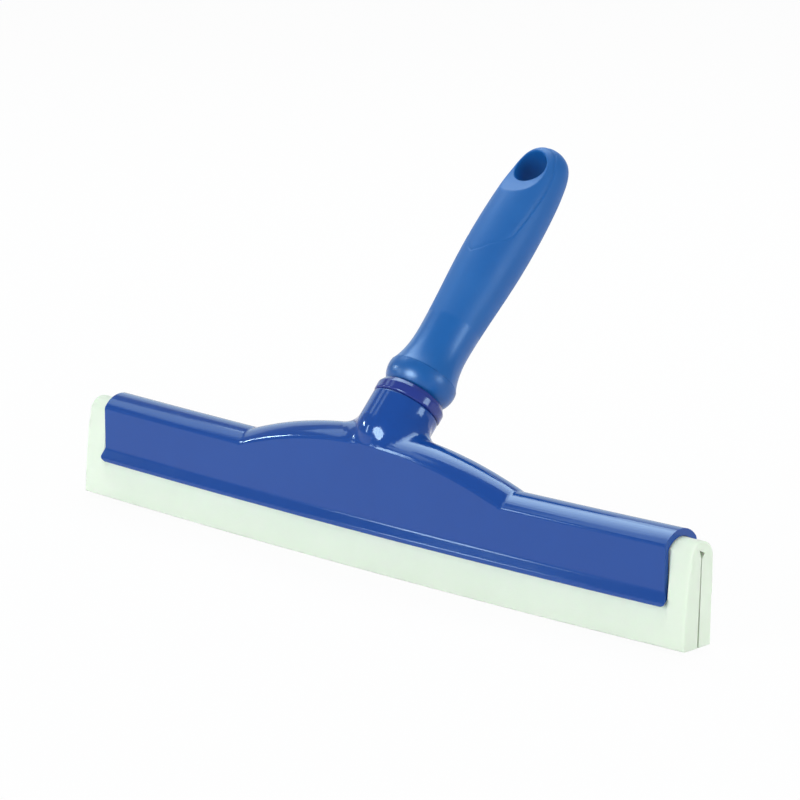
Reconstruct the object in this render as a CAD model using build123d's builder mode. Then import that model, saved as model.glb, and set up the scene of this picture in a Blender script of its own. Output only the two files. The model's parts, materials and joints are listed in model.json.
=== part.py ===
from build123d import *
import os
from math import asin, cos, degrees, radians, sin, sqrt

# Hand squeegee: a moulded head whose channel grips a folded strip of foam, and a grip handle screwed
# into the head's leaning socket. Millimetres. X runs along the blade, -Y is the front face, +Z is up.
# The origin is at the middle of the wiping edge, on the channel's mid-plane.

# Foam blade
blade_length = 400.0        # the strip, which stands out past both ends of the channel
blade_exposed = 19.7        # height of foam below the channel's lips
blade_front = 12.4          # foot of the front leaf, forward of the mid-plane
blade_back = 7.0            # foot of the back leaf, behind the mid-plane
slit_top = 0.7              # how far forward the slit's head stands
slit_foot = 2.2             # how far forward the slit's foot stands
slit_top_gap = 0.3
slit_foot_gap = 0.9
eye_width = 3.6             # the small hollow left inside the fold
eye_height = 4.8
eye_cover = 3.8             # foam above the eye
eye_round = 0.5

# Channel
frame_length = 374.0
channel_width = 22.0        # over the two walls
channel_height = 33.2       # from the lips' underside to the crown
wall = 3.0
roof = 3.5
arch_radius = 13.0          # the crown between the two walls
shoulder_round = 3.0        # where the crown turns into a wall
lip_reach = 4.4             # how far the flared lip stands out from its wall
lip_height = 5.9            # from the lip's underside to where the flare starts
lip_edge = 2.0              # height of the lip's outer edge
lip_slope = 0.7             # how far the lip's outer edge leans in at its foot
flare_round = 2.0           # hollow between the wall and its lip
lip_round = 1.0
lip_foot_round = 0.5
lip_corner = 1.5            # the lips' corners, seen from above
end_round = 4.0             # the channel's lower corners, seen from the front
pinch = 1.1                 # how far the bead inside each lip stands in from its wall
pinch_rise = 2.8            # the bead's height above the lip's underside
pinch_round = 1.2
mouth_flare = 1.5           # widening of the mouth below the bead, on each side
mouth_round = 0.8
foam_clearance = 0.15       # foam to the channel's flat faces
fold_clearance = 0.30       # foam to the channel's curved faces

# Hump that carries the socket
hump_length = 176.0         # crease to crease
hump_rise = 15.4            # above the channel's crown
hump_depth = 30.0           # how far the hump reaches down into the channel's solid
valley_round = 5.0          # where the hump meets the channel's crown
pocket_start = 24.0         # first hollow under the hump, from the middle of the head
pocket_width = 13.0
pocket_roof = 5.0           # left above each hollow
pocket_count = 3            # on each side of the socket
rib_pitch = 17.0
rib_thickness = 2.4

# Socket and screw
lean = 43.7                 # the handle's lean back from the blade's plane, in degrees
socket_base = 57.4          # height at which the socket's axis crosses the mid-plane
socket_radius = 17.5
socket_length = 25.0        # from the mid-plane to the rim, along the axis
nose_inset = 0.3            # the socket's round nose stands this far behind the front wall's face
neck_blend = 14.0           # fillet where the socket grows out of the hump
rim_round = 1.2
screw_depth = 21.8          # bore, from the rim
thread_diameter = 22.0      # over the handle's thread
thread_depth = 1.3
thread_clearance = 0.35
pilot_diameter = 24.0       # plain land above the thread
pilot_depth = 4.0
pilot_clearance = 0.05      # running fit in the bore's mouth
step_gap = 0.3              # left between the land's foot and the step in the bore
screw_end_gap = 1.2         # left between the screw's end and the bore's floor
screw_chamfer = 1.5

# Collar ring
ring_radius = 17.8
ring_height = 7.4
ring_bevel = 1.5            # the ring's upper edge slopes in by this much
ring_bevel_height = 2.5
ring_round = 0.7
ring_foot_round = 1.1
ring_play = 0.2             # left between the ring and the handle's bead
ring_clearance = 0.3        # to the plain land that runs through the ring

# Handle: a hard core with a bead at its foot
bead_height = 10.6
bead_foot_radius = 14.6
bead_middle_radius = 17.6
bead_top_radius = 17.8
core_end_cover = 6.0        # grip material between the core's end and the hanging hole
core_end_round = 8.0
core_end_taper = 1.0        # narrowing of the shank towards its end
core_bore_diameter = 14.0
core_bore_depth = 112.0

# Handle: the soft grip, with its lower places measured from its foot and its upper ones from its tip
grip_length = 135.6
grip_skin = 2.5
foot_radius = 17.7
foot_taper = 0.5            # narrowing at the foot, in mm for each mm along the grip
flare_at = 8.6
flare_radius = 15.0
waist_at = 23.0
waist_radius = 14.1
rise_at = 42.0
rise_radius = 14.9
swell_at = 60.0
swell_radius = 15.95
palm_at = 78.0
palm_radius = 16.4
shoulder_from_tip = 31.6
shoulder_radius = 15.6
dome_from_tip = 15.6
dome_radius = 13.9
crown_from_tip = 3.6
crown_radius = 9.4
hang_hole_diameter = 18.0
hang_hole_from_tip = 15.6
scoop_radius = 30.0         # thumb scoops around the hanging hole, front and back
scoop_web = 18.8            # thickness left between the two scoops

os.makedirs("parts", exist_ok=True)

# Places worked out from the sizes above
lip_z = blade_exposed
crown_z = lip_z + channel_height
half_width = channel_width / 2
half_slot = half_width - wall
half_pinch = half_slot - pinch
pinch_z = lip_z + pinch_rise
shoulder_z = crown_z - arch_radius + sqrt(arch_radius**2 - half_width**2)
ceiling_z = crown_z - roof
ceiling_radius = arch_radius - wall
ceiling_foot_z = ceiling_z - ceiling_radius + sqrt(ceiling_radius**2 - half_slot**2)
ridge_z = crown_z + hump_rise
hump_radius = ((hump_length / 2) ** 2 + hump_rise**2) / (2 * hump_rise)
hump_axis = Axis((0, 0, ridge_z - hump_radius), (0, 1, 0))
valley_x = sqrt(hump_rise * (2 * hump_radius + 2 * valley_round - hump_rise))
valley_axis = Axis((valley_x, 0, crown_z + valley_round), (0, 1, 0))
hump_angle = degrees(asin(valley_x / (hump_radius + valley_round)))

# The handle's axis leans back from +Z. A sketch on the lean plane has X across and Y along the axis
lean_direction = (0, sin(radians(lean)), cos(radians(lean)))
lean_normal = (0, -cos(radians(lean)), sin(radians(lean)))
lean_plane = Plane((0, 0, socket_base), x_dir=(1, 0, 0), z_dir=lean_normal)
lean_axis = Axis((0, 0, socket_base), lean_direction)
rim_at = socket_length
nose_at = (socket_radius - half_width + nose_inset) / lean_direction[1]
ring_top_at = rim_at + ring_height
grip_at = ring_top_at + bead_height
tip_at = grip_at + grip_length
hole_at = tip_at - hang_hole_from_tip
screw_end_at = rim_at - screw_depth + screw_end_gap
core_end_at = hole_at - hang_hole_diameter / 2 - core_end_cover

with BuildPart() as head:
    # Channel, still solid: two walls with flared lips under an arched crown
    with BuildSketch(Plane.YZ):
        with BuildLine():
            Line((0, crown_z), (0, lip_z))
            FilletPolyline(
                (0, lip_z),
                (half_width + lip_reach - lip_slope, lip_z),
                (half_width + lip_reach, lip_z + lip_edge),
                (half_width, lip_z + lip_height),
                (half_width, shoulder_z),
                radius=[lip_foot_round, lip_round, flare_round],
            )
            RadiusArc((half_width, shoulder_z), (0, crown_z), -arch_radius)
        make_face()
        mirror(about=Plane.YZ)
    extrude(amount=frame_length / 2, both=True)
    with BuildSketch(Plane.XY.offset(lip_z)):
        RectangleRounded(frame_length, channel_width + 2 * lip_reach, lip_corner)
    extrude(amount=channel_height, mode=Mode.INTERSECT)
    with BuildSketch(Plane.XZ) as front:
        with Locations((0, lip_z + channel_height / 2)):
            Rectangle(frame_length, channel_height)
        fillet(front.vertices().group_by(Axis.Y)[0], radius=end_round)
    extrude(amount=channel_width, both=True, mode=Mode.INTERSECT)

    # Hump: the same crown carried round a long arc, and into the channel's crown round a short valley
    for top_z, place, turn_axis in ((ridge_z, 0, hump_axis), (crown_z, valley_x, valley_axis)):
        foot_z = top_z - arch_radius + sqrt(arch_radius**2 - half_width**2)
        with BuildSketch(Plane.YZ.offset(place)):
            with BuildLine():
                Polyline(
                    (0, top_z),
                    (0, top_z - hump_depth),
                    (half_width, top_z - hump_depth),
                    (half_width, foot_z),
                )
                RadiusArc((half_width, foot_z), (0, top_z), -arch_radius)
            make_face()
            mirror(about=Plane.YZ)
        revolve(axis=turn_axis, revolution_arc=hump_angle)
    mirror(about=Plane.YZ)
    shoulders = head.edges().filter_by(
        lambda e: abs(abs(e.center().Y) - half_width) < 0.01
        and e.center().Z > shoulder_z - 1
        and (e.geom_type == GeomType.CIRCLE or abs(e.center().X) > 1)
    )
    fillet(shoulders, radius=shoulder_round)

    # Socket: a round-nosed sleeve that leans back out of the hump and blends into it
    with BuildSketch(lean_plane):
        with BuildLine():
            Polyline(
                (0, nose_at - socket_radius),
                (0, rim_at),
                (socket_radius, rim_at),
                (socket_radius, nose_at),
            )
            RadiusArc((socket_radius, nose_at), (0, nose_at - socket_radius), socket_radius)
        make_face()
    revolve(axis=lean_axis)
    neck = (
        head.edges(Select.LAST)
        .filter_by_position(Axis.X, 0.01 - socket_radius, socket_radius - 0.01)
        .filter_by(lambda e: e.geom_type != GeomType.CIRCLE or abs(e.radius - socket_radius) > 0.01)
    )
    fillet(neck, radius=neck_blend)
    rim = head.edges().filter_by(GeomType.CIRCLE).sort_by(lean_axis)[-1]
    fillet(rim, radius=rim_round)

    # Hollows under the hump, on both sides of the socket, with ribs between them
    with BuildSketch(Plane.XZ):
        for number in range(pocket_count):
            middle = pocket_start + number * rib_pitch + (rib_pitch - rib_thickness) / 2
            with Locations((middle, ceiling_z), (-middle, ceiling_z)):
                Rectangle(rib_pitch - rib_thickness, 2 * hump_rise)
        with Locations((0, ridge_z - hump_radius)):
            Circle(hump_radius - pocket_roof, mode=Mode.INTERSECT)
    extrude(amount=pocket_width / 2, both=True, mode=Mode.SUBTRACT)

    # Slot for the foam, with a bead inside each lip
    with BuildSketch(Plane.YZ):
        with BuildLine():
            Polyline((0, ceiling_z), (0, lip_z), (half_pinch + mouth_flare, lip_z))
            FilletPolyline(
                (half_pinch + mouth_flare, lip_z),
                (half_pinch, pinch_z),
                (half_slot, pinch_z + pinch_rise),
                (half_slot, ceiling_foot_z),
                radius=[pinch_round, pinch_round],
            )
            RadiusArc((half_slot, ceiling_foot_z), (0, ceiling_z), -ceiling_radius)
        make_face()
        mirror(about=Plane.YZ)
    extrude(amount=frame_length / 2, both=True, mode=Mode.SUBTRACT)
    mouth = head.edges().filter_by(Axis.X).filter_by(
        lambda e: abs(e.center().Z - lip_z) < 0.01 and abs(e.center().Y) < half_width
    )
    fillet(mouth, radius=mouth_round)

    # Bore for the handle's screw, with a wider plain mouth
    with BuildSketch(lean_plane):
        with BuildLine():
            Polyline(
                (0, rim_at + 1),
                (pilot_diameter / 2 + pilot_clearance, rim_at + 1),
                (pilot_diameter / 2 + pilot_clearance, rim_at - pilot_depth),
                (thread_diameter / 2 + thread_clearance, rim_at - pilot_depth),
                (thread_diameter / 2 + thread_clearance, rim_at - screw_depth),
                (0, rim_at - screw_depth),
                close=True,
            )
        make_face()
    revolve(axis=lean_axis, mode=Mode.SUBTRACT)
head.part.label = "head_frame"
export_step(head.part, "parts/head_frame.step")

# Half width of the foam where the channel holds it, and the crown of its fold
half_foam = half_slot - foam_clearance
foam_top_z = ceiling_z - fold_clearance
fold_radius = ceiling_radius - fold_clearance
fold_foot_z = foam_top_z - fold_radius + sqrt(fold_radius**2 - half_foam**2)
foam_pinch = half_pinch - fold_clearance
eye_top_z = foam_top_z - eye_cover
eye_foot_z = eye_top_z - eye_height

with BuildPart() as blade:
    # One strip folded over: outside of both leaves, then the eye in the fold and the slit below it
    with BuildSketch(Plane.YZ):
        with BuildLine():
            RadiusArc((-half_foam, fold_foot_z), (half_foam, fold_foot_z), fold_radius)
            FilletPolyline(
                (half_foam, fold_foot_z),
                (half_foam, pinch_z + pinch_rise),
                (foam_pinch, pinch_z),
                (foam_pinch + mouth_flare / 2, lip_z),
                (blade_back, 0),
                radius=[pinch_round, pinch_round, pinch_round],
            )
            Line((blade_back, 0), (-blade_front, 0))
            FilletPolyline(
                (-blade_front, 0),
                (-foam_pinch - mouth_flare, lip_z),
                (-foam_pinch, pinch_z),
                (-half_foam, pinch_z + pinch_rise),
                (-half_foam, fold_foot_z),
                radius=[pinch_round, pinch_round, pinch_round],
            )
        make_face()
        with BuildLine():
            FilletPolyline(
                (-slit_top, eye_foot_z),
                (-slit_top - eye_width * 0.4, eye_top_z),
                (-slit_top + eye_width * 0.6, eye_top_z - eye_height * 0.35),
                radius=eye_round,
                close=True,
            )
        make_face(mode=Mode.SUBTRACT)
        with BuildLine():
            Polyline(
                (-slit_top - slit_top_gap / 2, eye_foot_z + 2 * eye_round),
                (-slit_top + slit_top_gap / 2, eye_foot_z + 2 * eye_round),
                (-slit_foot + slit_foot_gap / 2, 0),
                (-slit_foot - slit_foot_gap / 2, 0),
                close=True,
            )
        make_face(mode=Mode.SUBTRACT)
    extrude(amount=blade_length / 2, both=True)
blade.part.label = "foam_blade"
export_step(blade.part, "parts/foam_blade.step")

with BuildPart() as ring:
    # Loose collar between the socket's rim and the handle's bead
    with BuildSketch(lean_plane):
        with BuildLine():
            inner = pilot_diameter / 2 + ring_clearance
            top = ring_top_at - ring_play
            Line((inner, top), (inner, rim_at))
            FilletPolyline(
                (inner, rim_at),
                (ring_radius, rim_at),
                (ring_radius, top - ring_bevel_height),
                (ring_radius - ring_bevel, top),
                (inner, top),
                radius=[ring_foot_round, 2 * ring_round, ring_round],
            )
        make_face()
    revolve(axis=lean_axis)
ring.part.label = "collar_ring"
export_step(ring.part, "parts/collar_ring.step")


def shank_line():
    """Draws the outside of the handle's shank, which is also the inside of the grip."""
    end_radius = palm_radius - grip_skin - core_end_taper
    Spline(
        (foot_radius - grip_skin, grip_at),
        (flare_radius - grip_skin, grip_at + flare_at),
        (waist_radius - grip_skin, grip_at + waist_at),
        (swell_radius - grip_skin, grip_at + swell_at),
        (end_radius, core_end_at - core_end_round),
        tangents=[(-foot_taper, 1), (0, 1)],
    )
    Spline(
        (end_radius, core_end_at - core_end_round),
        (0, core_end_at),
        tangents=[(0, 1), (-1, 0)],
    )


with BuildPart() as core:
    # Screw, plain land, bead and the shank inside the grip, all in one piece and cored out
    with BuildSketch(lean_plane):
        with BuildLine():
            root = thread_diameter / 2 - thread_depth
            land_at = rim_at - pilot_depth + step_gap
            Polyline(
                (0, core_end_at),
                (0, screw_end_at + core_bore_depth),
                (core_bore_diameter / 2, screw_end_at + core_bore_depth - core_bore_diameter / 4),
                (core_bore_diameter / 2, screw_end_at),
                (root - screw_chamfer, screw_end_at),
                (root, screw_end_at + screw_chamfer),
                (root, land_at),
                (pilot_diameter / 2, land_at),
                (pilot_diameter / 2, ring_top_at),
                (bead_foot_radius, ring_top_at),
            )
            ThreePointArc(
                (bead_foot_radius, ring_top_at),
                (bead_middle_radius, ring_top_at + bead_height / 2),
                (bead_top_radius, grip_at),
            )
            Line((bead_top_radius, grip_at), (foot_radius - grip_skin, grip_at))
            shank_line()
        make_face()
    revolve(axis=lean_axis)
core.part.label = "handle_core"
export_step(core.part, "parts/handle_core.step")

with BuildPart() as grip:
    # Soft skin over the shank, closed and solid beyond the shank's end
    with BuildSketch(lean_plane):
        with BuildLine():
            shank_line()
            Line((0, core_end_at), (0, tip_at))
            Spline(
                (palm_radius, grip_at + palm_at),
                (shoulder_radius, tip_at - shoulder_from_tip),
                (dome_radius, tip_at - dome_from_tip),
                (crown_radius, tip_at - crown_from_tip),
                (0, tip_at),
                tangents=[(0, 1), (-1, 0)],
            )
            Spline(
                (palm_radius, grip_at + palm_at),
                (swell_radius, grip_at + swell_at),
                (rise_radius, grip_at + rise_at),
                (waist_radius, grip_at + waist_at),
                (flare_radius, grip_at + flare_at),
                (foot_radius, grip_at),
                tangents=[(0, -1), (foot_taper, -1)],
            )
            Line((foot_radius, grip_at), (foot_radius - grip_skin, grip_at))
        make_face()
    revolve(axis=lean_axis)
    # Thumb scoops front and back, and the hanging hole between them
    scoop_out = scoop_web / 2 + scoop_radius
    with BuildSketch(Plane.YZ):
        for side in (1, -1):
            with Locations(
                (
                    hole_at * lean_direction[1] + side * scoop_out * lean_normal[1],
                    socket_base + hole_at * lean_direction[2] + side * scoop_out * lean_normal[2],
                )
            ):
                Circle(scoop_radius)
    extrude(amount=2 * palm_radius, both=True, mode=Mode.SUBTRACT)
    with BuildSketch(lean_plane):
        with Locations((0, hole_at)):
            Circle(hang_hole_diameter / 2)
    extrude(amount=2 * palm_radius, both=True, mode=Mode.SUBTRACT)
grip.part.label = "soft_grip"
export_step(grip.part, "parts/soft_grip.step")
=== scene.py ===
"""Hand squeegee: the looks of a blue plastic head, its folded foam blade and its screwed-in grip handle.

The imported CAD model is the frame. The collar ring and the handle's core keep their solids and get moulded
finishes. The head is a copy of its solid with the lips drawn in and the bar bowed, and the grip's skin is its
solid rounded over. The foam blade is modelled again in full, and the two threads are added.
"""

import json
import logging
import math
from dataclasses import dataclass
from enum import Enum
from typing import Callable, Sequence

import bpy
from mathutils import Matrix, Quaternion, Vector, bvhtree, interpolate, kdtree


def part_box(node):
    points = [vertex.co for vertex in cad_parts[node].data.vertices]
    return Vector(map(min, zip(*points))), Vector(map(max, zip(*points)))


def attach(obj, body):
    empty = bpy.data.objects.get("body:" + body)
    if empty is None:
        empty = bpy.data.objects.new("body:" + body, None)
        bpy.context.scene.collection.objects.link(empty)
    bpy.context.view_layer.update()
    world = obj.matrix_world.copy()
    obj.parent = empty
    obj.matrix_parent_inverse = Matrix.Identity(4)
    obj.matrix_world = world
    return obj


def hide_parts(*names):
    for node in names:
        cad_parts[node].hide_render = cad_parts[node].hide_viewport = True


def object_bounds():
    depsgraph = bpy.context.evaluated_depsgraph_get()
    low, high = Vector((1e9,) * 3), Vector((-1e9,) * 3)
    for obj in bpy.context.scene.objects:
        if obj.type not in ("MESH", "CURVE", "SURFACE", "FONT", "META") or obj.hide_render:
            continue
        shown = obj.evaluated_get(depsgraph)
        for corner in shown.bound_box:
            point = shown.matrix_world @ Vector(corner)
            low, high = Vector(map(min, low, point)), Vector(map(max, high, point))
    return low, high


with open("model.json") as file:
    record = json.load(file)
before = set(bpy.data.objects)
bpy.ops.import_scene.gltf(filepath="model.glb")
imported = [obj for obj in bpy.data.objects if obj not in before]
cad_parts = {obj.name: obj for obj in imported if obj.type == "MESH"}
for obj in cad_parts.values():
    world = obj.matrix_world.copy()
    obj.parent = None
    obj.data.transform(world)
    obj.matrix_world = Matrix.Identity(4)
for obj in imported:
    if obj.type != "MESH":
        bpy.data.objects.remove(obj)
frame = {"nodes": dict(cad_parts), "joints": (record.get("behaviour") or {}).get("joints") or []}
CAD_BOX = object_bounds()

MM = 0.001
# Points closer than this are one point
MERGE_DISTANCE = 0.001 * MM
ALONG_BAR = Vector((1, 0, 0))
# How far the bar rises from its middle to its ends, and how far out that rise is reached
BAR_BOW = 2.0 * MM
BAR_REACH = 195.0 * MM
# Blender's noise seldom leaves this range, so the range is stretched to the whole of what a noise drives
NOISE_LOW = 0.3
NOISE_HIGH = 0.7
# Cards overhead lie level at one height, and are turned square to the photo's view
CARD_AIM_HEIGHT = 0.05
CARD_DISTANCE = 1.2
CARD_ROLL = 44.0
LOG = logging.getLogger("hand_squeegee")


def linear(hex_colour: str) -> tuple[float, float, float, float]:
    """Turn an sRGB hex value into linear light.

    Args:
        hex_colour: A colour such as "#3c5da3".

    Returns:
        Linear red, green and blue, and an alpha of 1.
    """
    channels = [int(hex_colour[i:i + 2], 16) / 255 for i in (1, 3, 5)]
    red, green, blue = (c / 12.92 if c <= 0.04045 else ((c + 0.055) / 1.055) ** 2.4 for c in channels)
    return red, green, blue, 1.0


def add_node(
    tree: bpy.types.NodeTree, kind: str, sockets: dict[str | int, object] | None = None, **settings: object,
) -> bpy.types.Node:
    """Add one node to a tree, set it and link it.

    Args:
        tree: Node tree of a material or of the world.
        kind: Blender's name for the type of node.
        sockets: Input name or number, to its value or to the output socket that feeds it.
        settings: Properties of the node itself.

    Returns:
        The new node.
    """
    node = tree.nodes.new(kind)
    for name, value in settings.items():
        setattr(node, name, value)
    for name, value in (sockets or {}).items():
        if isinstance(value, bpy.types.NodeSocket):
            tree.links.new(value, node.inputs[name])
        else:
            node.inputs[name].default_value = value
    return node


def new_tree(name: str) -> tuple[bpy.types.Material, bpy.types.NodeTree]:
    """Start a material with an empty node tree.

    Args:
        name: The material's name.

    Returns:
        The material and its tree.
    """
    material = bpy.data.materials.new(name)
    material.use_nodes = True
    material.node_tree.nodes.clear()
    return material, material.node_tree


def dress(piece: bpy.types.Object, material: bpy.types.Material) -> None:
    """Give a whole piece one material."""
    piece.data.materials.clear()
    piece.data.materials.append(material)


def pick(piece: bpy.types.Object) -> None:
    """Make a piece the only selected object and the active one.

    Args:
        piece: The piece to work on next.
    """
    bpy.ops.object.select_all(action="DESELECT")
    piece.select_set(True)
    bpy.context.view_layer.objects.active = piece


def copy_solid(node: str, name: str) -> bpy.types.Object:
    """Start a piece as a copy of a CAD solid's mesh.

    Args:
        node: The CAD node's name.
        name: The new piece's name.

    Returns:
        The piece, active and in object mode.
    """
    piece = bpy.data.objects.new(name, frame["nodes"][node].data.copy())
    bpy.context.scene.collection.objects.link(piece)
    pick(piece)
    return piece


def select_in(piece: bpy.types.Object, kind: str, test: Callable[..., bool]) -> None:
    """Select a piece's vertices, edges or faces by a test, and leave it in edit mode.

    Args:
        piece: The active piece.
        kind: "VERT", "EDGE" or "FACE".
        test: Takes one mesh element and says whether it is selected.
    """
    bpy.ops.object.mode_set(mode="EDIT")
    bpy.ops.mesh.select_mode(type=kind)
    bpy.ops.mesh.select_all(action="DESELECT")
    bpy.ops.object.mode_set(mode="OBJECT")
    elements = {"VERT": piece.data.vertices, "EDGE": piece.data.edges, "FACE": piece.data.polygons}[kind]
    for element in elements:
        element.select = test(element)
    bpy.ops.object.mode_set(mode="EDIT")


def apply_modifier(piece: bpy.types.Object, kind: str, **settings: object) -> None:
    """Add one modifier to the active piece, set it and apply it.

    Args:
        piece: The active piece.
        kind: Blender's name for the type of modifier.
        settings: Properties of the modifier.
    """
    modifier = piece.modifiers.new(kind.title(), kind)
    for name, value in settings.items():
        setattr(modifier, name, value)
    bpy.ops.object.modifier_apply(modifier=modifier.name)


def draw_outline(name: str, points: Sequence[Vector]) -> bpy.types.Object:
    """Draw a closed outline by extruding one vertex from point to point, and fill it.

    Args:
        name: The new piece's name.
        points: Corners of the outline, in order, in the frame.

    Returns:
        The piece, active and in edit mode, with its one face selected.
    """
    bpy.ops.object.select_all(action="DESELECT")
    bpy.ops.mesh.primitive_plane_add(size=MM, location=points[0])
    piece = bpy.context.object
    piece.name = name
    piece.data.name = name
    bpy.ops.object.transform_apply(location=True, rotation=False, scale=False)
    bpy.ops.object.mode_set(mode="EDIT")
    bpy.ops.mesh.select_mode(type="VERT")
    bpy.ops.mesh.select_all(action="SELECT")
    bpy.ops.mesh.merge(type="CENTER")
    for here, there in zip(points, points[1:]):
        bpy.ops.mesh.extrude_region_move(TRANSFORM_OT_translate={"value": there - here})
    bpy.ops.mesh.select_all(action="SELECT")
    bpy.ops.mesh.edge_face_add()
    return piece


def tidy_normals(crease: float) -> None:
    """Merge the active piece's doubles, turn its faces outwards and smooth all but its creases.

    Args:
        crease: Angle in degrees from which an edge stays sharp.
    """
    bpy.ops.object.mode_set(mode="EDIT")
    bpy.ops.mesh.select_all(action="SELECT")
    bpy.ops.mesh.remove_doubles(threshold=MERGE_DISTANCE)
    bpy.ops.mesh.normals_make_consistent(inside=False)
    bpy.ops.object.mode_set(mode="OBJECT")
    bpy.ops.object.shade_smooth_by_angle(angle=math.radians(crease))


def bow_bar(piece: bpy.types.Object) -> None:
    """Raise the ends of a long piece a little, as the moulded bar sags and bends the foam with it."""
    for vertex in piece.data.vertices:
        vertex.co.z += BAR_BOW * (vertex.co.x / BAR_REACH) ** 2


def smooth_step(value: float) -> float:
    """Ease from 0 to 1 as the value goes from 0 to 1."""
    share = min(1.0, max(0.0, value))
    return share * share * (3 - 2 * share)


@dataclass(frozen=True)
class ScrewAxis:
    """The leaning axis that socket, ring and handle share, read from the frame's screw joint."""

    rim: Vector
    direction: Vector

    @classmethod
    def from_frame(cls) -> "ScrewAxis":
        """Read the axis from the joint that screws the handle out."""
        joint = next(j for j in frame["joints"] if j["name"] == "handle_screw")
        return cls(Vector(joint["pos_m"]), Vector(joint["axis"]).normalized())

    def height(self, point: Vector) -> float:
        """Height of a point above the socket's rim, along the axis."""
        return (point - self.rim).dot(self.direction)

    def outward(self, point: Vector) -> Vector:
        """Vector from the axis to a point, square to the axis."""
        return point - self.rim - self.height(point) * self.direction

    def front(self) -> Vector:
        """Direction in which the handle's front faces, square to the axis."""
        return ALONG_BAR.cross(self.direction)

    def place(self, piece: bpy.types.Object) -> None:
        """Lean a piece that was modelled upright round the rim's centre, and apply its place.

        Args:
            piece: The piece, with its own Z as the axis and the rim at its origin.
        """
        pick(piece)
        piece.rotation_euler = (-math.atan2(self.direction.y, self.direction.z), 0, 0)
        piece.location = self.rim
        bpy.ops.object.transform_apply(location=True, rotation=True, scale=True)


@dataclass(frozen=True)
class MouldedPolypropylene:
    """Injection-moulded polypropylene: a glossy skin, a faint ripple and slow drifts of tone and gloss."""

    name: str
    colour: str
    deep_colour: str
    gloss_roughness: float
    dull_roughness: float
    ior: float = 1.45
    drift: float = 38.0
    # Patches of polish to one length of the drift
    polish_patches: float = 3.0
    ripple: float = 2.6
    ripple_depth: float = 0.012

    def material(self) -> bpy.types.Material:
        """Build the material.

        Returns:
            A material on Object coordinates, with sizes in millimetres.
        """
        material, tree = new_tree(self.name)
        place = add_node(tree, "ShaderNodeTexCoord").outputs["Object"]
        # The melt cools unevenly as it fills the mould, so the blue drifts a little along the piece
        flow = add_node(
            tree, "ShaderNodeTexNoise", {"Vector": place, "Scale": 1 / (self.drift * MM), "Detail": 2.0},
        )
        blue = add_node(
            tree, "ShaderNodeMix",
            {0: flow.outputs["Fac"], 6: linear(self.deep_colour), 7: linear(self.colour)},
            data_type="RGBA",
        )
        # The mould's polish varies, so some patches are glossier and others slightly hazed
        polish = add_node(
            tree, "ShaderNodeTexNoise",
            {"Vector": place, "Scale": self.polish_patches / (self.drift * MM), "Detail": 3.0},
        )
        haze = add_node(
            tree, "ShaderNodeMapRange",
            {"Value": polish.outputs["Fac"], "From Min": NOISE_LOW, "From Max": NOISE_HIGH,
             "To Min": self.gloss_roughness, "To Max": self.dull_roughness},
        )
        # A shallow ripple, as moulded polypropylene has it, bends the edges of the highlights
        peel = add_node(
            tree, "ShaderNodeTexNoise", {"Vector": place, "Scale": 1 / (self.ripple * MM), "Detail": 1.0},
        )
        relief = add_node(
            tree, "ShaderNodeBump",
            {"Height": peel.outputs["Fac"], "Distance": self.ripple_depth * MM, "Strength": 1.0},
        )
        skin = add_node(
            tree, "ShaderNodeBsdfPrincipled",
            {"Base Color": blue.outputs[2], "Roughness": haze.outputs["Result"], "IOR": self.ior,
             "Normal": relief.outputs["Normal"]},
        )
        add_node(tree, "ShaderNodeOutputMaterial", {"Surface": skin.outputs["BSDF"]})
        return material


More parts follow.
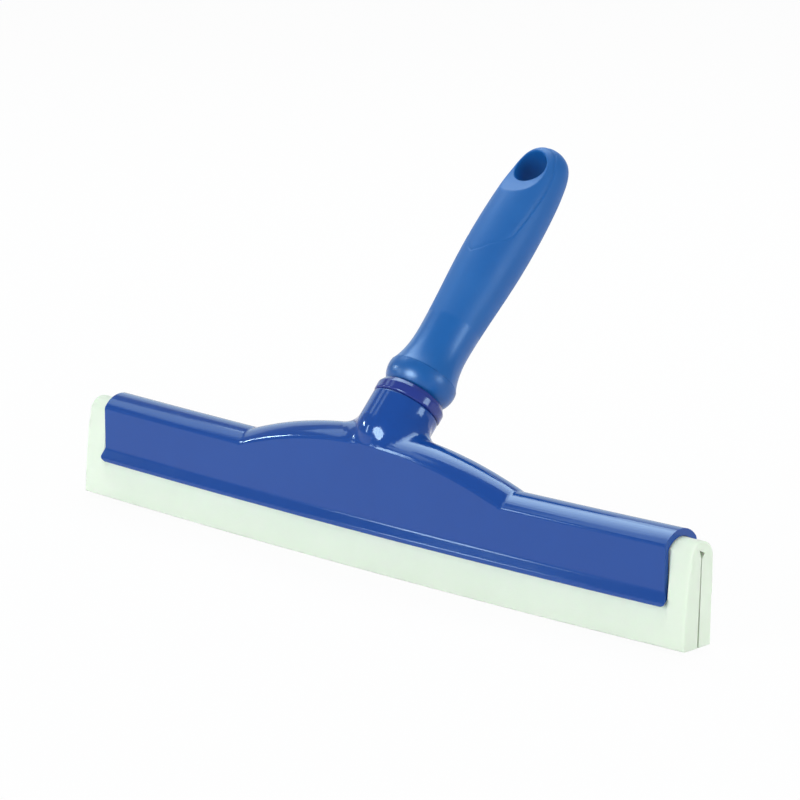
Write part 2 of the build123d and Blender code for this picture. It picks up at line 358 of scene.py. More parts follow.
@dataclass(frozen=True)
class SoftTouchSkin:
    """Overmoulded thermoplastic rubber: a satin skin whose fine spark-eroded grain spreads highlights."""

    name: str
    colour: str
    deep_colour: str
    low_roughness: float
    high_roughness: float
    polished_roughness: float = 0.31
    # Height above the socket's rim at which the polish ends, and half the width of that line
    polish_edge: float = 48.0
    polish_blur: float = 0.3
    # Height of the hanging hole, and the distances from its axis up to which the skin's reflection is cut as
    # painted shade, then full
    bore_height: float = 138.0
    painted_shade_radius: float = 9.1
    glossy_radius: float = 9.7
    # Specular level inside the hole, lowered there as painted shade, and on the rest of the skin
    painted_shade_gloss: float = 0.1
    skin_gloss: float = 0.5
    ior: float = 1.42
    drift: float = 30.0
    # Patches of wear to one length of the drift
    wear_patches: float = 2.0
    # The real grain is about 0.2 mm and too fine to show, so it is drawn three times as coarse
    grain: float = 0.6
    grain_depth: float = 0.008

    def material(self, axis: ScrewAxis) -> bpy.types.Material:
        """Build the material.

        Args:
            axis: The handle's axis, along which the skin changes from polished to grained.

        Returns:
            A material on Object coordinates, with sizes in millimetres.
        """
        material, tree = new_tree(self.name)
        place = add_node(tree, "ShaderNodeTexCoord").outputs["Object"]
        flow = add_node(
            tree, "ShaderNodeTexNoise", {"Vector": place, "Scale": 1 / (self.drift * MM), "Detail": 2.0},
        )
        blue = add_node(
            tree, "ShaderNodeMix",
            {0: flow.outputs["Fac"], 6: linear(self.deep_colour), 7: linear(self.colour)},
            data_type="RGBA",
        )
        # Handling polishes the skin in patches
        wear = add_node(
            tree, "ShaderNodeTexNoise",
            {"Vector": place, "Scale": self.wear_patches / (self.drift * MM), "Detail": 3.0},
        )
        satin = add_node(
            tree, "ShaderNodeMapRange",
            {"Value": wear.outputs["Fac"], "From Min": NOISE_LOW, "From Max": NOISE_HIGH,
             "To Min": self.low_roughness, "To Max": self.high_roughness},
        )
        # The mould is polished round the grip's foot, so the highlight there is sharp and ends at a line
        along = add_node(tree, "ShaderNodeVectorMath", {0: place, 1: axis.direction}, operation="DOT_PRODUCT")
        edge = axis.rim.dot(axis.direction) + self.polish_edge * MM
        zone = add_node(
            tree, "ShaderNodeMapRange",
            {"Value": along.outputs["Value"], "From Min": edge - self.polish_blur * MM,
             "From Max": edge + self.polish_blur * MM},
        )
        satin = add_node(
            tree, "ShaderNodeMix",
            {0: zone.outputs["Result"], 2: self.polished_roughness, 3: satin.outputs["Result"]},
        )
        # Painted shade: the skin inside the hanging hole reflects less, so its inside stays a deep blue as if
        # in shade
        centre = axis.rim + self.bore_height * MM * axis.direction
        arm = add_node(tree, "ShaderNodeVectorMath", {0: place, 1: centre}, operation="SUBTRACT")
        square = add_node(
            tree, "ShaderNodeVectorMath",
            {0: arm.outputs["Vector"], 1: axis.front()}, operation="CROSS_PRODUCT",
        )
        reach = add_node(tree, "ShaderNodeVectorMath", {0: square.outputs["Vector"]}, operation="LENGTH")
        bore_shade = add_node(
            tree, "ShaderNodeMapRange",
            {"Value": reach.outputs["Value"], "From Min": self.painted_shade_radius * MM,
             "From Max": self.glossy_radius * MM, "To Min": self.painted_shade_gloss, "To Max": self.skin_gloss},
        )
        grain = add_node(
            tree, "ShaderNodeTexNoise", {"Vector": place, "Scale": 1 / (self.grain * MM), "Detail": 1.0},
        )
        relief = add_node(
            tree, "ShaderNodeBump",
            {"Height": grain.outputs["Fac"], "Distance": self.grain_depth * MM, "Strength": 1.0},
        )
        skin = add_node(
            tree, "ShaderNodeBsdfPrincipled",
            {"Base Color": blue.outputs[2], "Roughness": satin.outputs[0], "IOR": self.ior,
             "Specular IOR Level": bore_shade.outputs["Result"], "Normal": relief.outputs["Normal"]},
        )
        add_node(tree, "ShaderNodeOutputMaterial", {"Surface": skin.outputs["BSDF"]})
        return material


@dataclass(frozen=True)
class ClosedCellFoam:
    """Closed-cell foam rubber, split from a block: matt, softly lit from within, with fine cells."""

    name: str
    colour: str
    pore_colour: str
    drift: float = 24.0
    # The real cells are about 0.3 mm and too fine to show, so they are drawn three times as coarse
    cell: float = 0.9
    cell_depth: float = 0.05
    cell_strength: float = 0.6
    # Range of the noise that takes the foam from its colour some way to that of its pores
    shade_low: float = 0.35
    shade_high: float = 0.75
    most_shade: float = 0.35
    roughness: float = 0.85
    ior: float = 1.4
    # Light that goes in and comes out again: its share, and how far red, green and blue spread
    inner_light: float = 0.35
    inner_reach: float = 1.5
    inner_spread: tuple[float, float, float] = (1.2, 1.6, 1.2)

    def material(self) -> bpy.types.Material:
        """Build the material.

        Returns:
            A material on Object coordinates, with sizes in millimetres.
        """
        material, tree = new_tree(self.name)
        place = add_node(tree, "ShaderNodeTexCoord").outputs["Object"]
        # Cut cells show as tiny cups
        cells = add_node(tree, "ShaderNodeTexVoronoi", {"Vector": place, "Scale": 1 / (self.cell * MM)})
        # The foam is denser in some places than in others, so its tone drifts
        drift = add_node(
            tree, "ShaderNodeTexNoise", {"Vector": place, "Scale": 1 / (self.drift * MM), "Detail": 3.0},
        )
        shade = add_node(
            tree, "ShaderNodeMapRange",
            {"Value": drift.outputs["Fac"], "From Min": self.shade_low, "From Max": self.shade_high,
             "To Min": 0.0, "To Max": self.most_shade},
        )
        pale = add_node(
            tree, "ShaderNodeMix",
            {0: shade.outputs["Result"], 6: linear(self.colour), 7: linear(self.pore_colour)},
            data_type="RGBA",
        )
        relief = add_node(
            tree, "ShaderNodeBump",
            {"Height": cells.outputs["Distance"], "Distance": self.cell_depth * MM,
             "Strength": self.cell_strength},
        )
        skin = add_node(
            tree, "ShaderNodeBsdfPrincipled",
            {"Base Color": pale.outputs[2], "Roughness": self.roughness, "IOR": self.ior,
             "Subsurface Weight": self.inner_light, "Subsurface Radius": self.inner_spread,
             "Subsurface Scale": self.inner_reach * MM, "Normal": relief.outputs["Normal"]},
        )
        add_node(tree, "ShaderNodeOutputMaterial", {"Surface": skin.outputs["BSDF"]})
        return material


class ThreadSide(Enum):
    """Which of the two mating threads a ridge belongs to."""

    SCREW = "screw"
    SOCKET = "socket"


@dataclass(frozen=True)
class Thread:
    """A coarse moulded thread: one ridge wound round the screw, and its mate inside the socket."""

    pitch: float = 4.2 * MM
    root_radius: float = 9.6 * MM
    crest_radius: float = 11.0 * MM
    bore_radius: float = 11.45 * MM
    bore_crest_radius: float = 10.15 * MM
    foot_width: float = 2.6 * MM
    crest_width: float = 1.0 * MM
    start: float = -18.4 * MM
    turns: int = 3
    steps: int = 64
    crease: float = 35.0

    def ridge(self, side: ThreadSide, axis: ScrewAxis) -> bpy.types.Object:
        """Model one ridge.

        Args:
            side: The screw's ridge, or the socket's, which runs half a pitch away.
            axis: Where the ridge winds.

        Returns:
            The ridge, in place.
        """
        inner = side is ThreadSide.SOCKET
        foot, crest = (
            (self.bore_radius, self.bore_crest_radius) if inner else (self.root_radius, self.crest_radius)
        )
        middle = self.start + (self.pitch / 2 if inner else 0)
        corners = [
            (foot, middle - self.foot_width / 2),
            (crest, middle - self.crest_width / 2),
            (crest, middle + self.crest_width / 2),
            (foot, middle + self.foot_width / 2),
        ]
        piece = draw_outline(f"{side.value}_thread", [Vector((r, 0, z)) for r, z in corners])
        bpy.ops.mesh.delete(type="ONLY_FACE")
        bpy.ops.object.mode_set(mode="OBJECT")
        apply_modifier(
            piece, "SCREW", axis="Z", angle=math.tau, screw_offset=self.pitch, iterations=self.turns,
            steps=self.steps, render_steps=self.steps, use_smooth_shade=True,
        )
        bpy.ops.object.mode_set(mode="EDIT")
        bpy.ops.mesh.select_all(action="SELECT")
        bpy.ops.mesh.fill_holes(sides=0)
        tidy_normals(self.crease)
        axis.place(piece)
        return piece


@dataclass
class FoamBlade:
    """The folded strip of foam: two leaves, the eye in the fold, and free ends that swell."""

    finish: ClosedCellFoam
    front_foot: float = 12.4 * MM
    back_foot: float = 7.0 * MM
    held: float = 7.85 * MM
    waist: float = 6.6 * MM
    front_lip: float = 8.1 * MM
    back_lip: float = 7.35 * MM
    lip_height: float = 19.7 * MM
    waist_height: float = 22.5 * MM
    wall_height: float = 25.3 * MM
    bulge_height: float = 34.0 * MM
    fold_height: float = 45.1 * MM
    fold_radius: float = 9.7 * MM
    fold_steps: int = 14
    slit_head: float = 0.7 * MM
    slit_foot: float = 2.2 * MM
    slit_head_gap: float = 0.5 * MM
    slit_foot_gap: float = 1.2 * MM
    eye_foot: float = 41.2 * MM
    eye_corner_left: tuple[float, float] = (-2.14 * MM, 45.3 * MM)
    eye_corner_right: tuple[float, float] = (1.46 * MM, 43.6 * MM)
    # How far within the waist, and above the fold's foot, the outside of the leaves is told from slit and eye
    inside_margin: float = 0.5 * MM
    fold_margin: float = 0.1 * MM
    half_length: float = 200.0 * MM
    channel_end: float = 187.0 * MM
    swell_start: float = 186.9 * MM
    swell_length: float = 1.6 * MM
    # Below the lips the swelling takes longer: by so much for each length of drop, and begins so early in it
    swell_spread: float = 1.6
    swell_lead: float = 0.6
    lean_power: float = 1.35
    edge_round: float = 1.2 * MM
    edge_segments: int = 3
    edge_tolerance: float = 0.01 * MM
    crease: float = 38.0
    overrun: float = 1.0 * MM
    shift: float = 1.4 * MM
    free_shoulder: float = 8.0 * MM
    shoulder_length: float = 6.0 * MM
    low_rows: tuple[float, ...] = (5.0 * MM, 10.0 * MM, 15.0 * MM)
    # Rows of points across the strip, in mm from either end: close at the channel's end, then even
    end_stations: tuple[float, ...] = (
        3.5, 7.0, 9.5, 11.5, 12.3, 13.1, 14.0, 16.0, 18.5, 22.0, 27.0, 34.0, *range(50, 187, 17),
    )

    def fold_sweep(self) -> float:
        """Angle from the middle of the fold's arc to where it meets a leaf."""
        return math.asin(self.held / self.fold_radius)

    def outline(self) -> list[tuple[float, float]]:
        """Corners of the section: from the front foot over the fold to the back foot, then slit and eye.

        Returns:
            Pairs of depth and height.
        """
        sweep = self.fold_sweep()
        centre = self.fold_height - self.fold_radius * math.cos(sweep)
        turns = [sweep * (2 * i / self.fold_steps - 1) for i in range(self.fold_steps + 1)]
        fold = [(self.fold_radius * math.sin(a), centre + self.fold_radius * math.cos(a)) for a in turns]
        lean = (self.front_foot - self.front_lip) / self.lip_height
        front = [
            (-self.front_foot, 0.0), *((-self.front_foot + lean * z, z) for z in self.low_rows),
            (-self.front_lip, self.lip_height), (-self.waist, self.waist_height),
            (-self.held, self.wall_height), (-self.held, self.bulge_height),
        ]
        back = [
            (self.held, self.bulge_height), (self.held, self.wall_height), (self.waist, self.waist_height),
            (self.back_lip, self.lip_height), (self.back_foot, 0.0),
        ]
        inside = [
            (-self.slit_foot + self.slit_foot_gap / 2, 0.0),
            (-self.slit_head + self.slit_head_gap / 2, self.eye_foot),
            self.eye_corner_right,
            self.eye_corner_left,
            (-self.slit_head - self.slit_head_gap / 2, self.eye_foot),
            (-self.slit_foot - self.slit_foot_gap / 2, 0.0),
        ]
        return front + fold + back + inside

    def is_outside(self, depth: float, height: float) -> bool:
        """Say whether a point of the section lies on the outside of the leaves, not in the slit or eye."""
        return abs(depth) > self.waist - self.inside_margin or height > self.fold_height + self.inside_margin

    def free_depth(self, depth: float, height: float) -> float:
        """Depth that a point on the outside of the leaves takes where no channel squeezes it.

        Args:
            depth: Depth in the channel.
            height: Height above the wiping edge.

        Returns:
            The free depth: the front leaf leans from its foot to the fold, and the back stands straight.
        """
        share = min(1.0, height / self.fold_height)
        if depth < 0:
            lean = self.front_foot + (self.held - self.front_foot) * share ** self.lean_power
            return min(depth, -lean)
        return max(depth, self.back_foot + (self.held - self.back_foot) * share)

    def swell_ends(self, piece: bpy.types.Object) -> None:
        """Let the section swell to its free shape beyond the ends of the channel.

        Args:
            piece: The strip, in object mode.
        """
        for vertex in piece.data.vertices:
            depth, height = vertex.co.y, vertex.co.z
            if self.is_outside(depth, height) and height < self.fold_height - self.fold_margin:
                spread = self.swell_spread * max(0.0, self.lip_height - height)
                start = self.swell_start - self.swell_lead * spread
                share = smooth_step((abs(vertex.co.x) - start) / (self.swell_length + spread))
                vertex.co.y += share * (self.free_depth(depth, height) - depth)

    def round_fold(self, piece: bpy.types.Object) -> None:
        """Let the fold of the free ends round down further than the channel lets it.

        Args:
            piece: The strip, in object mode.
        """
        sweep = self.fold_sweep()
        rise = self.fold_radius * (1.0 - math.cos(sweep))
        for vertex in piece.data.vertices:
            depth, height = vertex.co.y, vertex.co.z
            if self.is_outside(depth, height) and height > self.fold_height - self.fold_margin:
                turn = math.asin(max(-1.0, min(1.0, depth / self.fold_radius))) / sweep * math.pi / 2
                share = smooth_step((abs(vertex.co.x) - self.channel_end) / self.shoulder_length)
                free_height = self.fold_height + rise - self.free_shoulder * (1.0 - math.cos(turn))
                vertex.co.y += share * (self.held * math.sin(turn) - depth)
                vertex.co.z += share * (free_height - height)

    def shift_ends(self, piece: bpy.types.Object) -> None:
        """Let the strip run a little further past the channel on the left than on the right.

        Args:
            piece: The strip, in object mode.
        """
        for vertex in piece.data.vertices:
            free = max(0.0, abs(vertex.co.x) - self.channel_end) / (self.half_length - self.channel_end)
            vertex.co.x += free * (math.copysign(self.overrun, vertex.co.x) - self.shift)

    def round_edges(self, strip: bpy.types.Object, left: float, right: float) -> None:
        """Round the outside of both end faces and the two long edges at the foot.

        Args:
            strip: The strip, in object mode.
            left: Where the strip begins.
            right: Where the strip ends.
        """
        points = [v.co.copy() for v in strip.data.vertices]

        def is_worn(edge: bpy.types.MeshEdge) -> bool:
            """Say whether an edge is one that wear has rounded.

            Args:
                edge: An edge of the strip.

            Returns:
                True on the outside of the leaves, at an end face or at the foot.
            """
            a, b = (points[i] for i in edge.vertices)
            if not (self.is_outside(a.y, a.z) and self.is_outside(b.y, b.z)):
                return False
            at_end = any(max(abs(a.x - x), abs(b.x - x)) < self.edge_tolerance for x in (left, right))
            at_foot = max(a.z, b.z) < self.edge_tolerance
            return at_end or at_foot

        select_in(strip, "EDGE", is_worn)
        bpy.ops.mesh.bevel(
            offset=self.edge_round, segments=self.edge_segments, affect="EDGES", clamp_overlap=False,
        )
        bpy.ops.object.mode_set(mode="OBJECT")

    def build(self) -> bpy.types.Object:
        """Model the strip, dress it and put it on its body.

        Returns:
            The finished strip.
        """
        low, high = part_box("foam_blade")
        strip = draw_outline("foam_strip", [Vector((low.x, y, z)) for y, z in self.outline()])
        ends = [s * MM for s in self.end_stations]
        stations = [low.x + e for e in ends] + [high.x - e for e in reversed(ends)] + [high.x]
        for here, there in zip([low.x, *stations], stations):
            bpy.ops.mesh.extrude_region_move(TRANSFORM_OT_translate={"value": (there - here, 0, 0)})
        bpy.ops.object.mode_set(mode="OBJECT")
        self.swell_ends(strip)
        self.round_fold(strip)
        self.round_edges(strip, low.x, high.x)
        self.shift_ends(strip)
        bow_bar(strip)
        tidy_normals(self.crease)
        dress(strip, self.finish.material())
        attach(strip, "blade")
        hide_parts("foam_blade")
        return strip


@dataclass
class Handle:
    """The grip handle: hard core with bead and screw, and the soft skin moulded over it."""

    axis: ScrewAxis
    core_finish: MouldedPolypropylene
    skin_finish: SoftTouchSkin
    thread: Thread
    skin_merge: float = 0.005 * MM
    skin_voxel: float = 0.42 * MM
    skin_smoothing: int = 8
    smoothing_factor: float = 0.5
    core_end: float = 123.5 * MM
    # A face that looks at the axis, or down it, by more than this is the pocket's wall, or its end
    pocket_wall_facing: float = -0.05
    pocket_end_facing: float = -0.5
    grip_foot: float = 18.0 * MM
    # Line of the panel's groove: height above the grip's foot in mm, and angle from the front in degrees
    groove_line: tuple[tuple[float, float], ...] = (
        (64.5, 0), (67.5, 16), (71, 27), (75.5, 46), (80, 56), (91, 61.5), (104, 67), (113, 69.5), (120, 67),
        (125, 60.5), (130.6, 51), (133.8, 30), (134.6, 0),
    )
    groove_depth: float = 0.45 * MM
    groove_wall: float = 0.5 * MM
    groove_roll: float = 2.2 * MM
    # Spacing of the line's points, length of a degree round the grip, and where rays to the skin begin
    groove_spacing: float = 0.2
    groove_degree: float = 0.28
    groove_ray: float = 50.0 * MM
    # The groove is faint low on the grip and at the top: shares of its depth, heights in mm and their spans
    groove_faint: float = 0.3
    groove_rise: float = 76.0
    groove_rise_span: float = 10.0
    groove_loss: float = 0.5
    groove_fall: float = 128.0
    groove_fall_span: float = 6.0

    def build_skin(self) -> bpy.types.Object:
        """Model the soft skin from the CAD grip, with the hanging hole and the hollows rounded over.

        Returns:
            The finished skin.
        """
        skin = copy_solid("soft_grip", "grip_skin")
        bpy.ops.mesh.customdata_custom_splitnormals_clear()
        bpy.ops.object.mode_set(mode="EDIT")
        bpy.ops.mesh.select_all(action="SELECT")
        bpy.ops.mesh.remove_doubles(threshold=self.skin_merge)
        self.close_pocket(skin)
        apply_modifier(skin, "REMESH", mode="VOXEL", voxel_size=self.skin_voxel, use_smooth_shade=True)
        apply_modifier(skin, "SMOOTH", factor=self.smoothing_factor, iterations=self.skin_smoothing)
        self.press_groove(skin)
        bpy.ops.object.shade_smooth()
        dress(skin, self.skin_finish.material(self.axis))
        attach(skin, "handle")
        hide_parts("soft_grip")
        return skin

    def groove_points(self, skin: bpy.types.Object) -> list[tuple[Vector, float, float]]:
        """Lay the groove's line on the skin, on both sides.

        Args:
            skin: The smoothed skin.

        Returns:
            Points on the surface, each with its angle from the front and its share of the full depth.
        """
        front = self.axis.front()
        points = []
        for (low, turn), (high, next_turn) in zip(self.groove_line, self.groove_line[1:]):
            length = math.hypot(high - low, self.groove_degree * (next_turn - turn))
            steps = max(2, round(length / self.groove_spacing))
            for step in range(steps):
                share = step / steps
                height = low + share * (high - low)
                angle = math.radians(turn + share * (next_turn - turn))
                middle = self.axis.rim + (self.grip_foot + height * MM) * self.axis.direction
                for side in (1, -1):
                    outward = side * math.sin(angle) * ALONG_BAR + math.cos(angle) * front
                    found, place, _, _ = skin.ray_cast(middle + self.groove_ray * outward, -outward)
                    if found:
                        points.append((place, angle, self.groove_share(height)))
        return points

    def groove_share(self, height: float) -> float:
        """Share of its full depth that the groove has at a height.

        Args:
            height: Height above the grip's foot in mm.

        Returns:
            The share, less low on the grip and at its top.
        """
        risen = smooth_step((height - self.groove_rise) / self.groove_rise_span)
        fallen = smooth_step((height - self.groove_fall) / self.groove_fall_span)
        return self.groove_faint + (1 - self.groove_faint) * risen - self.groove_loss * fallen

    def press_groove(self, skin: bpy.types.Object) -> None:
        """Press the groove round the front panel into the skin: a steep outer wall and a rolled inner edge.

        Args:
            skin: The smoothed skin, active.
        """
        front = self.axis.front()
        points = self.groove_points(skin)
        tree = kdtree.KDTree(len(points))
        for index, (place, _, _) in enumerate(points):
            tree.insert(place, index)
        tree.balance()
        group = skin.vertex_groups.new(name="groove")
        for vertex in skin.data.vertices:
            _, index, away = tree.find(vertex.co)
            if away > self.groove_roll:
                continue
            _, angle, strength = points[index]
            outward = self.axis.outward(vertex.co)
            inside = math.atan2(abs(outward.x), outward.dot(front)) < angle
            reach = away / (self.groove_roll if inside else self.groove_wall)
            if reach < 1:
                group.add([vertex.index], strength * (1 - reach) ** (2 if inside else 1), "REPLACE")
        apply_modifier(
            skin, "DISPLACE", direction="NORMAL", strength=-self.groove_depth, mid_level=0.0,
            vertex_group=group.name,
        )

    def close_pocket(self, skin: bpy.types.Object) -> None:
        """Take out the unseen pocket that holds the core, and close the skin's foot.

        Args:
            skin: The merged copy, active.
        """
        def is_pocket(face: bpy.types.MeshPolygon) -> bool:
            """Say whether a face is part of the pocket.

            Args:
                face: A face of the skin.

            Returns:
                True on the pocket's wall and at its end.
            """
            height = self.axis.height(face.center)
            outward = self.axis.outward(face.center).normalized()
            wall = face.normal.dot(outward) < self.pocket_wall_facing
            down = face.normal.dot(self.axis.direction) < self.pocket_end_facing
            return height < self.core_end and (wall or (down and height > self.core_end / 2))

        select_in(skin, "FACE", is_pocket)
        bpy.ops.mesh.delete(type="FACE")
        bpy.ops.mesh.select_all(action="SELECT")
        bpy.ops.mesh.fill_holes(sides=0)
        bpy.ops.object.mode_set(mode="OBJECT")

    def build(self) -> list[bpy.types.Object]:
        """Model and dress the handle.

        Returns:
            The pieces that ride on it.
        """
        plastic = self.core_finish.material()
        core = frame["nodes"]["handle_core"]
        dress(core, plastic)
        screw = self.thread.ridge(ThreadSide.SCREW, self.axis)
        dress(screw, plastic)
        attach(screw, "handle")
        return [core, screw, self.build_skin()]


@dataclass
class Head:
    """The moulded head: channel, hump and socket in one piece, with the thread inside the socket.

    The visible lips flare less than the solid's, reach a little lower and run past the ends of the walls.
    """

    axis: ScrewAxis
    finish: MouldedPolypropylene
    thread: Thread
    wall_face: float = 11.0 * MM
    lip_top: float = 28.0 * MM
    lip_reach: float = 4.4 * MM
    lip_share: float = 0.45
    lip_end: float = 182.0 * MM
    lip_overrun: float = 2.3 * MM
    lip_drop: float = 1.0 * MM
    cut_step: float = 20.0 * MM
    cuts: int = 9

    def cut_across(self) -> None:
        """Merge the active moulding's doubles, and cut it at even steps, so that its long faces can bow."""
        bpy.ops.object.mode_set(mode="EDIT")
        bpy.ops.mesh.select_all(action="SELECT")
        bpy.ops.mesh.remove_doubles(threshold=MERGE_DISTANCE)
        for step in range(-self.cuts, self.cuts + 1):
            bpy.ops.mesh.select_all(action="SELECT")
            bpy.ops.mesh.bisect(plane_co=step * self.cut_step * ALONG_BAR, plane_no=ALONG_BAR)
        bpy.ops.object.mode_set(mode="OBJECT")

    @staticmethod
    def shades_of(moulding: bpy.types.Object, source: bpy.types.Object) -> list[Vector]:
        """Read the normals that a cut moulding's corners have on the uncut one.

        Args:
            moulding: The cut copy; each of its faces lies in one face of the source.
            source: The CAD moulding.

        Returns:
            One normal for each corner of the cut copy.
        """
        mesh, old = moulding.data, source.data
        points = [vertex.co.copy() for vertex in old.vertices]
        faces = [tuple(face.vertices) for face in old.polygons]
        tree = bvhtree.BVHTree.FromPolygons(points, faces)
        old_shades = [corner.vector.copy() for corner in old.corner_normals]
        shades = [Vector() for _ in mesh.loops]
        for face in mesh.polygons:
            found = tree.find_nearest(face.center)[2]
            triangle = [points[i] for i in faces[found]]
            for corner in face.loop_indices:
                place = mesh.vertices[mesh.loops[corner].vertex_index].co
                weights = interpolate.poly_3d_calc(triangle, place)
                parts = zip(old.polygons[found].loop_indices, weights)
                shades[corner] = sum((old_shades[k] * weight for k, weight in parts), Vector()).normalized()
        return shades

    def draw_in_lips(self, moulding: bpy.types.Object, normals: list[Vector]) -> None:
        """Draw the flared lips in towards the walls, and let them run a little past the walls' ends.

        Args:
            moulding: A copy of the CAD moulding.
            normals: Normals of its corners, which follow the lips.
        """
        mesh = moulding.data
        lips = set()
        for vertex in mesh.vertices:
            past = abs(vertex.co.y) - self.wall_face
            if past > MERGE_DISTANCE and vertex.co.z < self.lip_top:
                lips.add(vertex.index)
                vertex.co.y = math.copysign(self.wall_face + self.lip_share * past, vertex.co.y)
                vertex.co.z -= self.lip_drop * min(1.0, past / self.lip_reach)
                if abs(vertex.co.x) > self.lip_end:
                    vertex.co.x += math.copysign(self.lip_overrun * past / self.lip_reach, vertex.co.x)
        for corner in mesh.loops:
            if corner.vertex_index in lips:
                normal = normals[corner.index]
                normal.y /= self.lip_share
                normal.normalize()

    def build(self) -> list[bpy.types.Object]:
        """Model the moulding from the CAD head, and its thread.

        Returns:
            The pieces that ride on the head.
        """
        plastic = self.finish.material()
        moulding = copy_solid("head_frame", "head_moulding")
        self.cut_across()
        normals = self.shades_of(moulding, frame["nodes"]["head_frame"])
        self.draw_in_lips(moulding, normals)
        bow_bar(moulding)
        moulding.data.normals_split_custom_set(normals)
        dress(moulding, plastic)
        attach(moulding, "head")
        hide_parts("head_frame")
        thread = self.thread.ridge(ThreadSide.SOCKET, self.axis)
        dress(thread, plastic)
        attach(thread, "head")
        return [moulding, thread]


@dataclass
class Collar:
    """The loose ring between the socket and the handle."""

    finish: MouldedPolypropylene

    def build(self) -> bpy.types.Object:
        """Dress the CAD ring.

        Returns:
            The ring.
        """
        ring = frame["nodes"]["collar_ring"]
        dress(ring, self.finish.material())
        return ring


class LampShape(Enum):
    """Outline of a softbox, as it shows in a reflection."""

    PANEL = "RECTANGLE"
    OVAL = "ELLIPSE"


class LampUse(Enum):
    """What a softbox is there for, with its tint: a card only shows in the gloss, and a fill only lights."""

    CARD = "#ceeeff"
    FILL = "#f4fbff"


@dataclass(frozen=True)
class Lamp:
    """A softbox, placed by its bearing round the object and aimed at a point, in degrees and metres."""

    name: str
    bearing: float
    elevation: float
    distance: float
    width: float
    height: float
    radiance: float
    use: LampUse
    shape: LampShape = LampShape.PANEL
    aim: tuple[float, float, float] = (0.0, 0.0, 0.08)
    roll: float = 0.0

    @classmethod
    def overhead(cls, name: str, x: float, y: float, width: float, depth: float, radiance: float) -> "Lamp":
        """Describe a card that lies level above the object.

        Args:
            name: The card's name.
            x: Place of its middle along the bar.
            y: Place of its middle across the bar.
            width: Its size across the photo's view.
            depth: Its size along the photo's view.
            radiance: How bright it looks.

        Returns:
            The card.
        """
        return cls(
            name, 0, 90, CARD_DISTANCE, width, depth, radiance, LampUse.CARD,
            aim=(x, y, CARD_AIM_HEIGHT), roll=CARD_ROLL,
        )

    def build(self) -> None:
        """Hang the softbox; its power follows from its size and how bright it looks."""
        data = bpy.data.lights.new(self.name, "AREA")
        data.shape = self.shape.value
        data.size = self.width
        data.size_y = self.height
        data.color = linear(self.use.value)[:3]
        data.energy = math.pi * self.width * self.height * self.radiance
        lamp = bpy.data.objects.new(self.name, data)
        turn, rise = math.radians(self.bearing), math.radians(self.elevation)
        toward = Vector((math.sin(turn) * math.cos(rise), -math.cos(turn) * math.cos(rise), math.sin(rise)))
        lamp.location = Vector(self.aim) + self.distance * toward
        rolled = toward.to_track_quat("Z", "Y") @ Quaternion((0, 0, 1), math.radians(self.roll))
        lamp.rotation_euler = rolled.to_euler()
        lamp.visible_camera = False
        lamp.visible_diffuse = self.use is not LampUse.CARD
        lamp.visible_glossy = self.use is not LampUse.FILL
        bpy.context.scene.collection.objects.link(lamp)


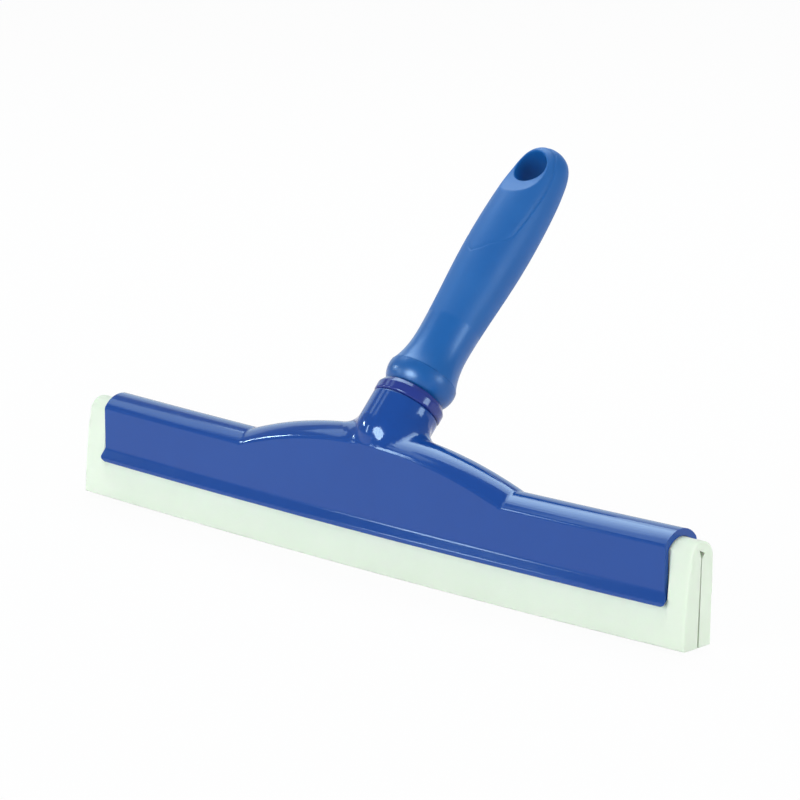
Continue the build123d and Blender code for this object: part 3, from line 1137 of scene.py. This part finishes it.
@dataclass
class Studio:
    """A plain white studio: floor, soft light and the camera of the photograph."""

    camera_place: tuple[float, float, float] = (1.1932, -1.2235, 0.4953)
    camera_aim: tuple[float, float, float] = (-0.0062, 0.01965, 0.07782)
    camera_lens: float = 165.4
    camera_range: float = 50.0
    floor_size: float = 12.0
    floor_drop: float = 0.1 * MM
    floor_white: str = "#f4f4f4"
    floor_glow: float = 0.955
    world_level: float = 0.34
    # By name, bearing, elevation, distance, width, height and radiance; overhead by place, size and radiance
    lamps: tuple[Lamp, ...] = (
        Lamp("overhead_fill", 0, 90, 1.3, 1.6, 1.0, 2.8, LampUse.FILL, aim=(-0.5, 0.65, 0.05)),
        Lamp.overhead("overhead_card", -0.75, 0.597, 1.25, 0.5, 6.3),
        Lamp.overhead("overhead_far_card", -1.007, 1.043, 0.9, 0.5, 3.6),
        Lamp.overhead("overhead_left_card", -1.406, -0.127, 0.7, 0.53, 2.1),
        Lamp.overhead("overhead_middle_card", -0.525, 0.328, 1.3, 0.2, 5.4),
        Lamp.overhead("overhead_near_card", -0.458, 0.114, 1.4, 0.2, 4.2),
        Lamp.overhead("overhead_corner_card", -0.894, -0.585, 0.5, 0.2, 2.0),
        Lamp("front_fill", -8, 11, 1.5, 0.9, 0.9, 6.0, LampUse.FILL, LampShape.OVAL),
        Lamp("front_card", 0, 17, 1.5, 0.9, 0.66, 16.0, LampUse.CARD, LampShape.OVAL),
        Lamp("right_fill", 95, 15, 1.5, 0.9, 0.9, 3.9, LampUse.FILL),
        Lamp("right_card", 104, 11, 1.5, 0.66, 0.32, 9.0, LampUse.CARD),
        Lamp("left_card", -64, 16, 1.5, 0.2, 0.1, 56.0, LampUse.CARD),
        Lamp("left_front_card", -41, 13, 1.5, 0.11, 0.46, 15.0, LampUse.CARD),
        Lamp("back_card", -136, 16, 3.0, 5.0, 1.5, 1.0, LampUse.CARD),
    )

    @staticmethod
    def seen_white(tree: bpy.types.NodeTree, share: float) -> bpy.types.NodeSocket:
        """Share of white for rays that show the background: from the camera, a reflection or through glass.

        Args:
            tree: The tree to build in.
            share: How much of the surface is plain white to those rays.

        Returns:
            The socket that carries the share.
        """
        path = add_node(tree, "ShaderNodeLightPath")
        seen = path.outputs["Is Camera Ray"]
        for ray in ("Is Glossy Ray", "Is Transmission Ray"):
            either = add_node(tree, "ShaderNodeMath", {0: seen, 1: path.outputs[ray]}, operation="MAXIMUM")
            seen = either.outputs[0]
        return add_node(tree, "ShaderNodeMath", {0: seen, 1: share}, operation="MULTIPLY").outputs[0]

    def build_floor(self) -> None:
        """Lay the floor: white, with a faint shadow under the object."""
        bpy.ops.object.select_all(action="DESELECT")
        level = CAD_BOX[0].z - self.floor_drop
        bpy.ops.mesh.primitive_plane_add(size=self.floor_size, location=(0, 0, level))
        floor = bpy.context.object
        floor.name = "studio_floor"
        material, tree = new_tree("Matt_white_studio_paper")
        paper = add_node(tree, "ShaderNodeBsdfDiffuse", {"Color": linear(self.floor_white)})
        glow = add_node(tree, "ShaderNodeEmission", {"Color": (1, 1, 1, 1), "Strength": 1.0})
        both = add_node(
            tree, "ShaderNodeMixShader",
            {0: self.seen_white(tree, self.floor_glow), 1: paper.outputs[0], 2: glow.outputs[0]},
        )
        add_node(tree, "ShaderNodeOutputMaterial", {"Surface": both.outputs[0]})
        dress(floor, material)

    def build_world(self) -> None:
        """Fill the room with dim, even light; the picture shows only the floor behind the object."""
        world = bpy.data.worlds.new("Studio_white")
        bpy.context.scene.world = world
        world.use_nodes = True
        tree = world.node_tree
        tree.nodes.clear()
        room = add_node(tree, "ShaderNodeBackground", {"Color": (1, 1, 1, 1), "Strength": self.world_level})
        add_node(tree, "ShaderNodeOutputWorld", {"Surface": room.outputs[0]})

    def build_camera(self) -> None:
        """Set the camera at the photograph's viewing angle."""
        data = bpy.data.cameras.new("photo_camera")
        data.lens = self.camera_lens
        data.clip_end = self.camera_range
        camera = bpy.data.objects.new("photo_camera", data)
        camera.location = self.camera_place
        toward = Vector(self.camera_aim) - Vector(self.camera_place)
        camera.rotation_euler = toward.to_track_quat("-Z", "Y").to_euler()
        bpy.context.scene.collection.objects.link(camera)
        bpy.context.scene.camera = camera

    def build(self) -> None:
        """Set up floor, world, lamps and camera."""
        self.build_floor()
        self.build_world()
        for lamp in self.lamps:
            lamp.build()
        self.build_camera()
        bpy.context.scene.view_settings.view_transform = "Standard"


def main() -> None:
    """Build the squeegee's pieces in order, then the studio round them."""
    logging.basicConfig(level=logging.INFO, format="%(name)s: %(message)s")
    axis = ScrewAxis.from_frame()
    thread = Thread()
    head_blue = MouldedPolypropylene(
        "Polypropylene_gloss_moulded", "#114796", "#0e4290", gloss_roughness=0.09, dull_roughness=0.13,
    )
    ring_blue = MouldedPolypropylene(
        "Polypropylene_ring_moulded", "#263a8a", "#213382", gloss_roughness=0.1, dull_roughness=0.16,
    )
    core_blue = MouldedPolypropylene(
        "Polypropylene_handle_moulded", "#125ca2", "#0e549a", gloss_roughness=0.27, dull_roughness=0.33,
    )
    skin_blue = SoftTouchSkin(
        "Thermoplastic_rubber_soft_touch", "#1a61a7", "#1559a0", low_roughness=0.45, high_roughness=0.53,
    )
    foam_pale = ClosedCellFoam("Foam_rubber_closed_cell", "#e3ebd9", "#dae4d0")
    pieces = [
        *Head(axis, head_blue, thread).build(),
        FoamBlade(foam_pale).build(),
        Collar(ring_blue).build(),
        *Handle(axis, core_blue, skin_blue, thread).build(),
    ]
    for piece in pieces:
        LOG.info("%s: %d faces, %s", piece.name, len(piece.data.polygons), piece.data.materials[0].name)
    Studio().build()


if __name__ == "__main__":
    main()
